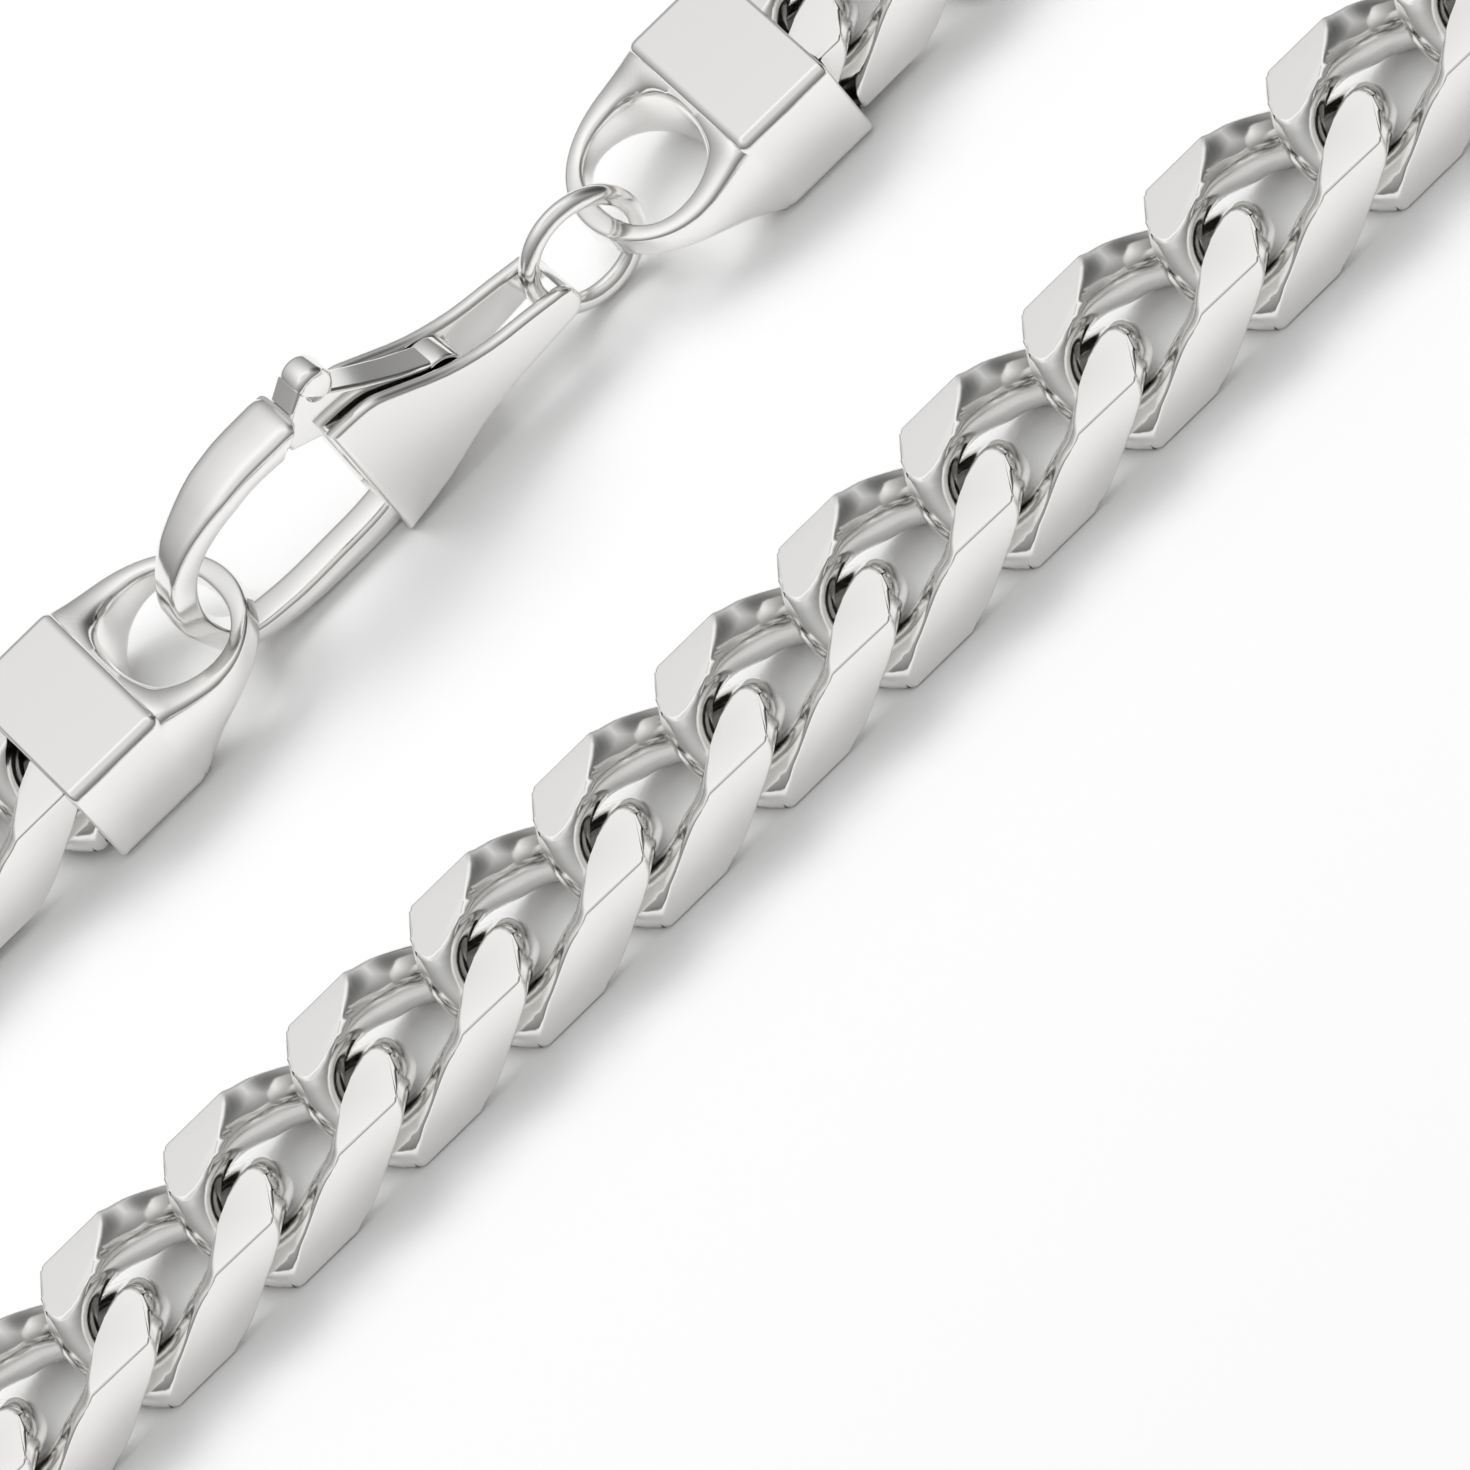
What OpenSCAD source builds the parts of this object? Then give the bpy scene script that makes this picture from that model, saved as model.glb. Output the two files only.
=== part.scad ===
// Necklace of close, twisted curb links with flat cut faces, closed by a lobster claw clasp.
// It lies on a flat surface as a whole loop. Millimetres, +Z up, origin under the middle of the loop.

/* [Chain] */
// Width of the chain across its cut sides
chain_w = 5.2; // [4.9:0.1:5.2]
// Height of the chain between its cut top and bottom
chain_h = 3.1; // [2.8:0.1:3.1]
// Number of pitches from one end cap to the other
pitches = 103; // [103:1:103]
// Half the length of a link's ring, on the wire's centre line
ring_half_l = 3.68; // [3.66:0.01:3.70]
// Half the width of a link's ring before its sides are cut
ring_half_w = 2.86; // [2.84:0.01:2.90]
// Squareness of the ring: 2 is an ellipse
ring_power = 2.0; // [2.0:0.1:2.2]
// Wire thickness in the ring's plane at the link's ends
end_t = 1.25; // [1.15:0.01:1.26]
// Wire thickness in the ring's plane at the link's arms
arm_t = 2.70; // [2.50:0.02:2.72]
// Wire thickness across the ring's plane at the link's ends
end_h = 1.66; // [1.50:0.02:1.66]
// Wire thickness across the ring's plane at the link's arms
arm_h = 2.60; // [2.50:0.02:2.62]
// Angle that the twist of a link tends to
twist_end = 48; // [47:0.5:50]
// Distance from a link's middle at which the twist would reach that angle
twist_reach = 3.88; // [3.80:0.02:3.90]
// Slowness of the twist near a link's middle: 1 is even
twist_power = 1.35; // [1.30:0.05:1.40]

/* [Loop] */
// Distance between the two straight runs, centre to centre
run_gap = 18.0; // [17:0.1:20]
// Length of each straight run
run_l = 80; // [76:1:84]
// Radius of the bends that close the loop
bend_r = 30; // [28:1:34]
// How far from the clasp's middle the first cut link's centre lies
first_link_x = 13.7; // [13.6:0.1:13.8]
// How far the clasp's middle lies to the right of the loop's middle
clasp_shift = 0.18; // [0.10:0.02:0.20]
// How far the links lie along the loop from its middle
chain_shift = 0.41; // [0.35:0.02:0.45]

/* [End caps] */
// Length of a cap's box along the chain
cap_l = 3.7; // [3.6:0.1:3.8]
// Width of a cap
cap_w = 6.6; // [6.4:0.1:6.8]
// Height of a cap
cap_h = 3.7; // [3.6:0.1:3.8]
// Distance from the loop's middle to a cap's outer face
cap_x = 15.9; // [15.8:0.05:16.0]
// How much further out the left cap lies
cap_left_out = 0.15; // [0.10:0.05:0.20]
// Radius of a cap's rounded edges
cap_round = 0.40; // [0.3:0.05:0.5]
// Depth of the socket that takes the chain
socket_d = 2.1; // [2.0:0.1:2.2]
// Length of the hollow between a cap's top and its eye plate
scoop_top_l = 3.9; // [3.6:0.1:4.0]
// Length of the hollow between a cap's underside and its eye plate
scoop_low_l = 3.8; // [3.4:0.1:3.9]
// Clearance between the chain and its socket
socket_gap = 0.12; // [0.10:0.01:0.14]
// Thickness of an eye's plate
eye_t = 0.95; // [0.85:0.05:1.0]
// Height of an eye's plate above the surface
eye_z = 1.75; // [1.70:0.05:1.80]
// Distance from the loop's middle to an eye's tip
eye_tip_x = 7.45; // [7.40:0.05:7.50]
// Width of the metal at an eye's tip
eye_band = 0.8; // [0.70:0.05:0.80]
// Length of an eye's hole along the chain
eye_hole_l = 3.75; // [3.7:0.05:3.8]
// Width of an eye's hole across the chain
eye_hole_w = 4.7; // [4.6:0.1:4.8]

/* [Jump ring] */
// Radius of the jump ring on its wire's centre line
jump_r = 1.95; // [1.93:0.01:1.97]
// Radius of the jump ring's wire
jump_wire_r = 0.33; // [0.30:0.01:0.33]
// Distance of the jump ring's centre from the loop's middle
jump_x = 6.9; // [6.88:0.01:6.92]

/* [Clasp] */
// Width of the clasp's body over its two cheeks
clasp_w = 2.5; // [2.4:0.05:2.6]
// Width of the claw
claw_w = 1.2; // [1.1:0.1:1.3]
// Width of the hook's top at its tip
hook_w = 2.2; // [2.0:0.1:2.3]
// Distance of the clasp's tail from the loop's middle, across the runs
clasp_y = 8.6; // [8.55:0.05:8.70]
// Width of the slot between the cheeks
slot_w = 1.45; // [1.40:0.05:1.50]
// Width of the lever in the slot
lever_w = 1.2; // [1.10:0.05:1.20]
// Turn of the clasp about the vertical, seen from above
clasp_turn = 1.5; // [1.0:0.5:1.5]
// Place of the lever's pivot along the clasp
pivot_x = 1.05; // [1.00:0.05:1.10]
// Height of the lever's pivot
pivot_z = 3.15; // [3.10:0.05:3.20]
// Radius of the pivot pin
pin_r = 0.40; // [0.35:0.01:0.42]
// Running clearance round the pivot pin
pin_gap = 0.05; // [0.04:0.01:0.08]
// Radius of the lever's boss round the pin
boss_r = 0.9; // [0.85:0.05:0.90]
// Radius of the thumb tab
tab_r = 0.7; // [0.60:0.05:0.70]

/* [Hidden] */
$fn = 64;
silver = "silver";
bright = "gainsboro";
steel = "lightsteelblue";
ring_steps = 12;
wire_sides = 6;
run_y = run_gap / 2;
// A bend turns out by this angle, round by a half turn and twice the angle, and out again
out_turn = acos((run_y + bend_r) / (2 * bend_r));
bulb_x = run_l / 2 + 2 * bend_r * sin(out_turn);
out_l = bend_r * out_turn * PI / 180;
round_turn = 180 + 2 * out_turn;
round_l = bend_r * round_turn * PI / 180;
bulb_l = 2 * out_l + round_l;
lead_l = run_l / 2 - first_link_x;
chain_l = 2 * lead_l + run_l + 2 * bulb_l;
pitch = chain_l / pitches;
half_way = floor(pitches / 2);
// The links in and next to a cap's socket ride a little above the surface
socket_lift = (cap_h - chain_h) / 2;
lift_steps = 3;
cap_in_x = cap_x - cap_l;
scoop_top_h = cap_h - eye_z - eye_t;
eye_r = cap_w / 2;
hole_r = eye_hole_l / 2;
hole_x = eye_tip_x + eye_band + hole_r;
turn_x = 5.4;
over = 0.5;

// Signed power that keeps the sign of its base
function spow(v, p) = sign(v) * pow(abs(v), p);

// Place and heading [x, y, angle] at distance d after the first turn of a right-hand bulb
function bulb_at(d) =
    d < out_l
    ? let (a = d / bend_r * 180 / PI)
      [run_l / 2 + bend_r * sin(a), run_y + bend_r - bend_r * cos(a), a]
    : d < out_l + round_l
    ? let (a = out_turn - (d - out_l) / bend_r * 180 / PI)
      [bulb_x - bend_r * sin(a), bend_r * cos(a), a]
    : let (a = out_turn - round_turn + (d - out_l - round_l) / bend_r * 180 / PI)
      [run_l / 2 + bend_r * sin(a), -run_y - bend_r - bend_r * cos(a), a];

// Place and heading at distance d from the first link, along the right half of the loop
function half_loop_at(d) =
    d < lead_l
    ? [first_link_x + d, run_y, 0]
    : d < lead_l + bulb_l
    ? bulb_at(d - lead_l)
    : [run_l / 2 - (d - lead_l - bulb_l), -run_y, 180];

// The left half is the right half in a mirror, taken from the other end
function loop_at(d) =
    let (e = d + chain_shift)
    e <= chain_l / 2
    ? half_loop_at(e)
    : let (p = half_loop_at(chain_l - e)) [-p[0], p[1], 360 - p[2]];

// Height of a link's middle above the surface
function link_z(i) =
    let (n = min(i, pitches - i))
    chain_h / 2 + socket_lift * max(0, min(1, (lift_steps + 1 - n) / lift_steps));

// Twist of a link at distance x from its middle
function twist_at(x) =
    twist_end * spow(sin(90 * max(-1, min(1, x / twist_reach))), twist_power);

// Point on the ring's centre line at angle a, in the ring's plane
function ring_at(a) =
    [ring_half_l * spow(cos(a), 2 / ring_power), ring_half_w * spow(sin(a), 2 / ring_power)];

// Direction across the wire in the ring's plane at angle a
function ring_out(a) =
    let (step = 4, d = ring_at(a + step) - ring_at(a - step))
    [d[1], -d[0]] / norm(d);

// One corner of the twisted wire, cut to the chain's width and height
function wire_at(a, s) =
    let (
        c = ring_at(a),
        o = ring_out(a),
        w = pow(min(1, abs(c[1]) / ring_half_w), 2),
        t = end_t + (arm_t - end_t) * w,
        h = end_h + (arm_h - end_h) * w,
        x = c[0] + o[0] * t / 2 * cos(s),
        y = c[1] + o[1] * t / 2 * cos(s),
        z = h / 2 * sin(s),
        k = twist_at(x),
        yt = -(y * cos(k) - z * sin(k)),
        zt = y * sin(k) + z * cos(k)
    )
    [x, max(-chain_w / 2, min(chain_w / 2, yt)), max(-chain_h / 2, min(chain_h / 2, zt))];

// Angles of the wire's sections: from one arm round an end, or all the way round
function ring_angles(first, last, count) =
    [for (i = [0 : count - 1]) first + (last - first) * i / (count - 1)];

// A closed link: sections joined all the way round
module whole_link() {
    corners = [for (i = [0 : ring_steps - 1], j = [0 : wire_sides - 1])
        wire_at(360 / ring_steps * i, 360 / wire_sides * j)];
    walls = [for (i = [0 : ring_steps - 1], j = [0 : wire_sides - 1])
        let (
            a = i * wire_sides + j,
            b = i * wire_sides + (j + 1) % wire_sides,
            c = ((i + 1) % ring_steps) * wire_sides + (j + 1) % wire_sides,
            d = ((i + 1) % ring_steps) * wire_sides + j
        )
        each [[a, c, b], [a, d, c]]];
    polyhedron(corners, walls);
}

// The cut link that is soldered into a cap: one end and two arms, towards +X
module cut_link(arm_angle = 72) {
    count = 7;
    angles = ring_angles(-arm_angle, arm_angle, count);
    corners = [for (a = angles, j = [0 : wire_sides - 1]) wire_at(a, 360 / wire_sides * j)];
    walls = [for (i = [0 : count - 2], j = [0 : wire_sides - 1])
        let (
            a = i * wire_sides + j,
            b = i * wire_sides + (j + 1) % wire_sides,
            c = (i + 1) * wire_sides + (j + 1) % wire_sides,
            d = (i + 1) * wire_sides + j
        )
        each [[a, c, b], [a, d, c]]];
    last = (count - 1) * wire_sides;
    ends = [for (j = [1 : wire_sides - 2]) each
        [[0, j, j + 1], [last, last + j + 1, last + j]]];
    polyhedron(corners, concat(walls, ends));
}

// One link in its place on the loop
module link(i) {
    p = loop_at(i * pitch);
    translate([p[0], p[1], link_z(i)])
        rotate([0, 0, p[2]])
            if (i == 0) cut_link();
            else if (i == pitches) rotate([0, 0, 180]) cut_link();
            else whole_link();
}

module chain_right() {
    color(silver)
        for (i = [0 : half_way]) link(i);
}

module chain_left() {
    color(silver)
        for (i = [half_way + 1 : pitches]) link(i);
}

// Rectangle with rounded corners, from its least corner
module round_rect(w, h, r) {
    translate([r, 0]) square([w - 2 * r, h]);
    translate([0, r]) square([w, h - 2 * r]);
    for (x = [r, w - r], y = [r, h - r])
        translate([x, y]) circle(r);
}

// Radius of an arc of a given length and height that starts level
function scoop_r(l, h) = (l * l + h * h) / (2 * h);

// Metal left between a cap's face and its eye plate by one hollow, from the plate upwards
module scoop(l, h) {
    r = scoop_r(l, h);
    difference() {
        translate([cap_in_x - l, 0]) square([l + cap_round, h]);
        translate([cap_in_x - l, r]) circle(r, $fn = 256);
    }
}

// Side outline of a cap: rounded box, eye plate and the hollows between them
module cap_side() {
    translate([cap_in_x, 0]) round_rect(cap_l, cap_h, cap_round);
    translate([eye_tip_x, eye_z]) square([cap_in_x - eye_tip_x + cap_l / 2, eye_t]);
    translate([0, eye_z + eye_t]) scoop(scoop_top_l, scoop_top_h);
    translate([0, eye_z]) mirror([0, 1]) scoop(scoop_low_l, eye_z);
}

// Plan outline of a cap: straight sides that end in a half round
module cap_plan() {
    translate([eye_tip_x + eye_r, 0]) circle(eye_r);
    translate([eye_tip_x + eye_r, -eye_r]) round_rect(cap_x - eye_tip_x - eye_r, cap_w, cap_round);
    translate([eye_tip_x + eye_r, -eye_r]) square([cap_round * 2, cap_w]);
}

module eye_hole() {
    reach = eye_hole_w / 2 - hole_r;
    for (y = [-reach, reach])
        translate([hole_x, y]) circle(hole_r);
    translate([hole_x - hole_r, -reach]) square([eye_hole_l, reach * 2]);
}

module end_cap() {
    socket_w = chain_w + 2 * socket_gap;
    socket_h = chain_h + 2 * socket_gap;
    translate([0, run_y, 0])
        difference() {
            intersection() {
                rotate([90, 0, 0])
                    linear_extrude(cap_w + over, center = true) cap_side();
                linear_extrude(cap_h) cap_plan();
            }
            translate([0, 0, -over])
                linear_extrude(cap_h + 2 * over)
                    intersection() {
                        eye_hole();
                        translate([0, -cap_w]) square([cap_in_x - 0.05, cap_w * 2]);
                    }
            translate([cap_x - socket_d, -socket_w / 2, (cap_h - socket_h) / 2])
                cube([socket_d + over, socket_w, socket_h]);
        }
}

module end_cap_right() {
    color(bright)
        translate([clasp_shift, 0, 0]) end_cap();
}

module end_cap_left() {
    color(bright)
        translate([clasp_shift - cap_left_out, 0, 0]) mirror([1, 0, 0]) end_cap();
}

module jump_ring() {
    color(bright)
        translate([clasp_shift + jump_x, clasp_y, jump_r + jump_wire_r])
            rotate([90, 0, 0])
                rotate_extrude() translate([jump_r, 0]) circle(jump_wire_r);
}

// Claw along its middle line: place along the clasp, height, thickness
claw_path = [
    [-0.6, 1.15, 1.20],
    [-2.7, 0.55, 1.00],
    [-4.9, 0.48, 0.94],
    [-7.0, 0.62, 0.80],
    [-8.75, 1.15, 0.70],
    [-9.50, 2.55, 0.85],
    [-9.45, 4.05, 1.00],
    [-8.55, 5.40, 1.00],
    [-7.10, 6.20, 0.92],
    [-5.60, 6.55, 0.88],
    [-4.20, 6.55, 0.95],
    [-2.70, 6.40, 1.10],
];
claw_steps = 5;

// Point of a smooth line through the rows of a table, t rows from its start
function along(rows, t) =
    let (
        n = len(rows),
        i = min(n - 2, floor(t)),
        f = t - i,
        p0 = rows[max(0, i - 1)],
        p1 = rows[i],
        p2 = rows[i + 1],
        p3 = rows[min(n - 1, i + 2)]
    )
    0.5 * (2 * p1 + (p2 - p0) * f + (2 * p0 - 5 * p1 + 4 * p2 - p3) * f * f
        + (3 * p1 - p0 - 3 * p2 + p3) * f * f * f);

// Edge of the claw, on one side of its middle line
function claw_edge(side) =
    let (last = (len(claw_path) - 1) * claw_steps)
    [for (k = [0 : last])
        let (
            p = along(claw_path, k / claw_steps),
            a = along(claw_path, max(0, k - 0.5) / claw_steps),
            b = along(claw_path, min(last, k + 0.5) / claw_steps),
            d = [b[0] - a[0], b[1] - a[1]] / norm([b[0] - a[0], b[1] - a[1]])
        )
        [p[0] - side * d[1] * p[2] / 2, p[1] + side * d[0] * p[2] / 2]];

function reversed(v) = [for (k = [len(v) - 1 : -1 : 0]) v[k]];

// The lever's nose lies under the hook's tip along this slope
nose_a = 40;
nose_at = [-3.3, 7.0];

module below_slope(gap) {
    translate(nose_at)
        rotate(nose_a)
            translate([-6, -6 - gap]) square([12, 6]);
}

module claw_side() {
    difference() {
        polygon(concat(claw_edge(1), reversed(claw_edge(-1))));
        intersection() {
            below_slope(0);
            translate([-4.6, 5]) square([4, 3]);
        }
    }
}

// Outline of a cheek: place along the clasp, height
cheek_corners = [
    [-2.8, 5.55],
    [-1.9, 5.50],
    [-1.1, 5.35],
    [-0.4, 4.95],
    [1.15, 4.0],
    [2.7, 3.4],
    [4.25, 3.1],
    [5.2, 2.90],
    [5.2, 1.60],
    [4.5, 1.55],
    [2.6, 1.40],
    [1.0, 1.10],
    [-0.8, 0.50],
    [-2.8, 0.08],
];

// Room for the lever between the cheeks: place along the clasp, height
slot_corners = [
    [-3.4, 1.00],
    [-0.8, 1.30],
    [1.0, 1.75],
    [2.05, 1.80],
    [2.05, 0.50],
    [5.5, 0.50],
    [5.5, 9.00],
    [-3.4, 9.00],
];

// Outline of the lever's arm: place along the clasp, height
lever_corners = [
    [1.1, 4.04],
    [0.1, 4.75],
    [-0.9, 5.60],
    [-2.0, 6.45],
    [-2.5, 7.30],
    [-3.9, 6.60],
    [-3.9, 5.70],
    [-2.4, 5.00],
    [-0.8, 4.00],
    [0.4, 2.60],
    [1.1, 2.26],
];

// Half width of the hook, as a share of its width at the tip: place along the clasp, share
hook_taper = [
    [-3.0, 1.00],
    [-5.0, 0.97],
    [-6.5, 0.92],
    [-8.0, 0.70],
    [-9.2, 0.55],
    [-11.0, 0.50],
];

// Plan outline of the hook, to both sides of its middle
module hook_plan() {
    half = hook_w / 2;
    polygon(concat(
        [for (p = hook_taper) [p[0], p[1] * half]],
        reversed([for (p = hook_taper) [p[0], -p[1] * half]])
    ));
}

// Turn the clasp about the middle of its tail and set it in the clasp run
module in_clasp() {
    translate([clasp_shift + turn_x, clasp_y, 0])
        rotate([0, 0, clasp_turn])
            translate([-turn_x, 0, 0])
                rotate([90, 0, 0]) children();
}

module slab(w) {
    linear_extrude(w, center = true) children();
}

module clasp_body() {
    color(silver)
        in_clasp() {
            difference() {
                slab(clasp_w) {
                    polygon(cheek_corners);
                    translate([5.2, 2.25]) circle(0.65);
                }
                slab(slot_w) polygon(slot_corners);
            }
            slab(claw_w) claw_side();
            intersection() {
                slab(hook_w)
                    intersection() {
                        claw_side();
                        translate([-10.5, 4]) square([7.5, 4]);
                    }
                rotate([90, 0, 0]) linear_extrude(20, center = true) hook_plan();
            }
            translate([pivot_x, pivot_z]) slab(clasp_w) circle(pin_r);
        }
}

module clasp_lever() {
    color(steel)
        in_clasp()
            slab(lever_w)
                difference() {
                    union() {
                        intersection() {
                            polygon(lever_corners);
                            below_slope(0.12);
                        }
                        translate([pivot_x, pivot_z]) circle(boss_r);
                        translate([-2.1, 6.9]) circle(tab_r);
                    }
                    translate([pivot_x, pivot_z]) circle(pin_r + pin_gap);
                }
}

chain_right();
chain_left();
end_cap_right();
end_cap_left();
jump_ring();
clasp_body();
clasp_lever();
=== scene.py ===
"""Necklace of close curb links with a lobster claw clasp, dressed for a product photograph.

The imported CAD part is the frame. The chain's two halves, the end caps, the jump ring and the
clasp are built again here, smooth and with softened rims, in the same places. They are of
polished silver and lie on a white table.
"""

import logging
import math
from collections.abc import Callable, Iterable
from dataclasses import dataclass, field
from enum import Enum

import bmesh
import bpy
from mathutils import Matrix, Vector

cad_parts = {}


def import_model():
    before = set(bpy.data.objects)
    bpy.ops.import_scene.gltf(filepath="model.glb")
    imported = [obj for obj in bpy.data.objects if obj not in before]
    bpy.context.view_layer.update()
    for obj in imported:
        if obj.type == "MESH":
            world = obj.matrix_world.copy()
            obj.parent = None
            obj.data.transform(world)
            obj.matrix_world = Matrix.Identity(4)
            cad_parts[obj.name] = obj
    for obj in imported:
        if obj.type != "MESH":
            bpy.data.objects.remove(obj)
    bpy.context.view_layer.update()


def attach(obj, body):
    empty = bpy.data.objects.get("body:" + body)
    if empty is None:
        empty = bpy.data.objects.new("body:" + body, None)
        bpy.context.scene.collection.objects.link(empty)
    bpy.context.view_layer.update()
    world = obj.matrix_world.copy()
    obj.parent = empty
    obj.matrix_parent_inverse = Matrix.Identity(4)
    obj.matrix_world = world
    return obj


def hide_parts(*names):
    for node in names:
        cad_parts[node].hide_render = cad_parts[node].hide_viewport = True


MM = 0.001
SAME = 1e-7  # metres within which two points of a cut shape count as one
JOIN = 1e-8  # metres within which the sides of a rolled grid meet
LEVEL = 1e-9  # metres by which the two ends of a level edge may differ
SMALL = 1e-6  # keeps a division by a sine or cosine finite
LOG = logging.getLogger("necklace")


class Body(Enum):
    """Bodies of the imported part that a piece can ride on."""

    NECKLACE = "necklace"
    LEVER = "lever"


def srgb(code: str) -> tuple[float, float, float, float]:
    """Turn an sRGB hex colour into linear RGBA.

    Args:
        code: Six hex digits after a hash sign.

    Returns:
        Linear red, green and blue, and an alpha of 1.
    """
    parts = [int(code[i : i + 2], 16) / 255 for i in (1, 3, 5)]
    linear = [c / 12.92 if c <= 0.04045 else ((c + 0.055) / 1.055) ** 2.4 for c in parts]
    return (linear[0], linear[1], linear[2], 1.0)


def signed_power(value: float, power: float) -> float:
    """Raise a number to a power and keep its sign.

    Args:
        value: The number.
        power: The power its size is raised to.

    Returns:
        The number's size to that power, with the number's sign.
    """
    return math.copysign(abs(value) ** power, value)


def each_once(items: Iterable) -> list:
    """List things once each, in the order they come, so that every run builds the same mesh.

    Args:
        items: The things, some of them more than once.

    Returns:
        The list.
    """
    return list(dict.fromkeys(items))


def add_node(
    tree: bpy.types.NodeTree,
    kind: str,
    inputs: dict[str | int, object],
    **settings: object,
) -> bpy.types.Node:
    """Add a shader node with its settings, values and links.

    Args:
        tree: The node tree.
        kind: The node's Blender type name.
        inputs: Values, or the sockets they come from, by the input's name or number.
        **settings: The node's own settings.

    Returns:
        The new node.
    """
    node = tree.nodes.new(kind)
    for name, value in settings.items():
        setattr(node, name, value)
    for key, value in inputs.items():
        if isinstance(value, bpy.types.NodeSocket):
            tree.links.new(value, node.inputs[key])
        else:
            node.inputs[key].default_value = value
    return node


@dataclass(frozen=True)
class Finish:
    """What a surface is made of and how it was worked."""

    name: str
    colour: str
    roughness: float
    metallic: float = 0.0

    def make(self) -> bpy.types.Material:
        """Build the node material.

        Returns:
            The material, named for what the surface is.
        """
        material = bpy.data.materials.new(self.name)
        material.use_nodes = True
        tree = material.node_tree
        tree.nodes.clear()
        looks = {
            "Base Color": srgb(self.colour),
            "Metallic": self.metallic,
            "Roughness": self.roughness,
        }
        shader = add_node(tree, "ShaderNodeBsdfPrincipled", looks)
        add_node(tree, "ShaderNodeOutputMaterial", {"Surface": shader.outputs["BSDF"]})
        return material


# Cast, cut and buffed: near-white mirrors, with reflections that are just soft at their edges.
SILVER = Finish("polished sterling silver", "#F4F3F1", roughness=0.13, metallic=1.0)
# Uncoated card: plain matt white that takes soft shadows and shows no gloss.
PAPER = Finish("white paper", "#FAFAFA", roughness=0.6)


def finish_mesh(
    mesh: bpy.types.Mesh, shape: bmesh.types.BMesh, material: bpy.types.Material
) -> None:
    """Write a bmesh to a mesh with outward normals and one material.

    Args:
        mesh: The mesh to fill.
        shape: The bmesh, freed afterwards.
        material: The finish of every face.
    """
    bmesh.ops.recalc_face_normals(shape, faces=shape.faces[:])
    for face in shape.faces:
        face.smooth = True
    shape.to_mesh(mesh)
    shape.free()
    mesh.materials.append(material)


def soften_edges(
    shape: bmesh.types.BMesh,
    edges: list[bmesh.types.BMEdge],
    width: float,
    segments: int,
    clamp: bool = True,
) -> None:
    """Round some edges of a shape.

    Args:
        shape: The shape.
        edges: The edges.
        width: How far the rounding reaches from each edge, in millimetres.
        segments: Steps of the rounding.
        clamp: Whether short edges hold the width back.
    """
    bmesh.ops.bevel(
        shape,
        geom=edges,
        offset=width * MM,
        offset_type="OFFSET",
        segments=segments,
        profile=0.5,
        affect="EDGES",
        material=-1,
        clamp_overlap=clamp,
    )


def spin_round(shape: bmesh.types.BMesh, axis: tuple[float, float, float], steps: int) -> None:
    """Spin a wire's section into a closed ring about the origin.

    Args:
        shape: The shape, which holds the section alone.
        axis: The axis to spin about.
        steps: Sections round the ring.
    """
    bmesh.ops.spin(
        shape,
        geom=shape.verts[:] + shape.edges[:],
        cent=(0, 0, 0),
        axis=axis,
        angle=math.tau,
        steps=steps,
        use_merge=True,
    )


def put(name: str, mesh: bpy.types.Mesh, body: Body, node: str) -> bpy.types.Object:
    """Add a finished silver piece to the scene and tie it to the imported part.

    Args:
        name: The piece's name.
        mesh: Its mesh, in the row frame.
        body: The body it rides on.
        node: The CAD node that it stands for.

    Returns:
        The new object, at the origin.
    """
    piece = bpy.data.objects.new(name, mesh)
    bpy.context.scene.collection.objects.link(piece)
    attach(piece, body.value)
    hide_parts(node)
    piece.modifiers.new("flat faces", "WEIGHTED_NORMAL")
    return piece


@dataclass(frozen=True)
class LoopSizes:
    """Plan of the closed loop on the table, in millimetres.

    The two straight runs lie at run_y on either side of the middle and are run_l long. The
    path starts at first_x, and the first link lies shift along it. The links next to the
    caps stand higher by lift, which fades over lift_steps links.
    """

    run_y: float = 9.0
    run_l: float = 80.0
    bend_r: float = 30.0
    first_x: float = 13.7
    shift: float = 0.41
    pitches: int = 103
    lift: float = 0.3
    lift_steps: int = 3

    @property
    def out_turn(self) -> float:
        """Angle by which a bend first turns outwards, in radians."""
        return math.acos((self.run_y + self.bend_r) / (2 * self.bend_r))

    @property
    def lead(self) -> float:
        """Straight length from the first link to the first bend."""
        return self.run_l / 2 - self.first_x

    @property
    def bulb(self) -> float:
        """Length of one bulb of the loop."""
        return self.bend_r * (math.pi + 4 * self.out_turn)

    @property
    def length(self) -> float:
        """Length of the chain between the first and the last link."""
        return 2 * self.lead + self.run_l + 2 * self.bulb

    @property
    def pitch(self) -> float:
        """Distance from one link to the next."""
        return self.length / self.pitches


@dataclass(frozen=True)
class Place:
    """A link's place on the loop: middle in millimetres and heading in radians."""

    x: float
    y: float
    z: float
    heading: float


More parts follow.
